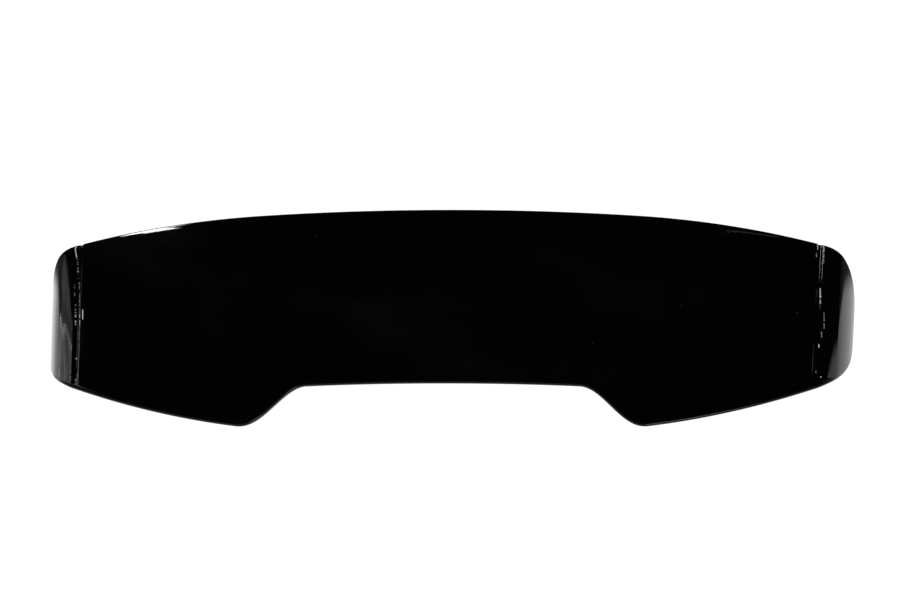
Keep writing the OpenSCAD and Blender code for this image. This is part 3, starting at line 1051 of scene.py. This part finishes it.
dome_level, paper_level = 0.7, 1.0
ray = put(room, "ShaderNodeLightPath").outputs
unseen = put(room, "ShaderNodeMixShader", {
    0: ray["Is Glossy Ray"], 1: light_of(dome_level), 2: light_of(level)})
seen = put(room, "ShaderNodeMixShader", {
    0: ray["Is Camera Ray"], 1: unseen.outputs[0], 2: light_of(paper_level)})
put(room, "ShaderNodeOutputWorld", {"Surface": seen.outputs[0]})
print("room: %d nodes" % len(room.nodes))

# %% [markdown]
# ## Lamp and floor
# One soft lamp from behind the camera gives a gentle shadow. The gloss doesn't mirror it,
# because the photograph shows no lamp in the panel. The paper is white. Seen in the gloss,
# it turns dark a little ahead of the part, with its corners cut back, and shade is painted
# on it: it is darker on the right and behind.

# %% Lamp
lamp_place, lamp_size, lamp_level = Vector((0.2, -2.2, 2.6)), (2.4, 1.2), 1.0
bulb = bpy.data.lights.new("key", "AREA")
bulb.shape = "RECTANGLE"
bulb.size, bulb.size_y = lamp_size
# With this energy the lamp's face is as bright as `lamp_level`, where 1 is white
bulb.energy = lamp_level * math.pi * lamp_size[0] * lamp_size[1] * 4
key = bpy.data.objects.new("key", bulb)
scene.collection.objects.link(key)
key.location = lamp_place
key.rotation_euler = (-lamp_place).to_track_quat("-Z", "Y").to_euler()
key.visible_glossy = False
print("lamp: %.0f W" % bulb.energy)

# %% Floor
reach = 6
ground = bpy.data.meshes.new("floor")
ground.from_pydata([(-reach, -reach, 0), (reach, -reach, 0), (reach, reach, 0),
                    (-reach, reach, 0)], [], [(0, 1, 2, 3)])
floor = bpy.data.objects.new("floor", ground)
scene.collection.objects.link(floor)
paper = bpy.data.materials.new("white_paper")
ground.materials.append(paper)
paper.use_nodes = True
sheet = paper.node_tree
sheet.nodes.clear()
print("floor: %d m square" % (2 * reach))

# %% Paper as the gloss sees it
spot = split(sheet, place_on(sheet))
corner_left, corner_right = 0.7, 0.9
paper_end = (0.075, 0.125)
past_left = calc(sheet, "MINIMUM", calc(sheet, "ADD", spot["X"], corner_left), 0.0)
past_right = calc(sheet, "MINIMUM", calc(sheet, "SUBTRACT", corner_right, spot["X"]), 0.0)
past_edge = calc(sheet, "MULTIPLY_ADD", past_left, 0.14, spot["Y"])
past_edge = calc(sheet, "MULTIPLY_ADD", past_right, 0.16, past_edge)
# Painted shade: the paper is darker towards the right and behind the part
paper_with_painted_shade = times(sheet, fade(sheet, past_edge, *paper_end, 1.0, 0.08),
                 fade(sheet, spot["X"], -0.4, 0.4, 1.0, 0.76),
                 fade(sheet, spot["Y"], -0.26, -0.14, 0.28, 1.0))


def glowing(colour, strength):
    """Paper that is lit and also shines by itself, so that it stays even."""
    lit = put(sheet, "ShaderNodeBsdfDiffuse", {"Color": colour})
    glow = put(sheet, "ShaderNodeEmission", {"Color": (1, 1, 1, 1), "Strength": strength})
    return put(sheet, "ShaderNodeAddShader", {0: lit.outputs[0], 1: glow.outputs[0]}).outputs[0]


mirrored = glowing(paper_with_painted_shade, times(sheet, paper_with_painted_shade, 0.45))
print("paper in the gloss: ends %.0f to %.0f mm ahead" % tuple(v / mm for v in paper_end))

# %% Paper for every kind of ray
seen_paper = glowing((0.25, 0.25, 0.25, 1), 0.92)
plain = put(sheet, "ShaderNodeBsdfDiffuse", {"Color": (0.8, 0.8, 0.8, 1)})
ray = put(sheet, "ShaderNodeLightPath").outputs
surface = put(sheet, "ShaderNodeMixShader", {
    0: ray["Is Glossy Ray"], 1: plain.outputs[0], 2: mirrored})
looked_at = calc(sheet, "MAXIMUM", ray["Is Camera Ray"], ray["Is Transmission Ray"])
surface = put(sheet, "ShaderNodeMixShader", {
    0: looked_at, 1: surface.outputs[0], 2: seen_paper})
put(sheet, "ShaderNodeOutputMaterial", {"Surface": surface.outputs[0]})
print("paper: %d nodes" % len(sheet.nodes))

# %% [markdown]
# ## Hand the pieces to the frame
# Each piece rides on the body of the imported model and takes the place of its node.

# %% Hand over
for piece, node, material_slot in ((shell, "spoiler_shell", "gloss_panel"),
                                   (inserts, "threaded_inserts", "insert_brass")):
    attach(piece, "root")
    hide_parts(node)
    print("%s takes the place of %s" % (piece.name, node))
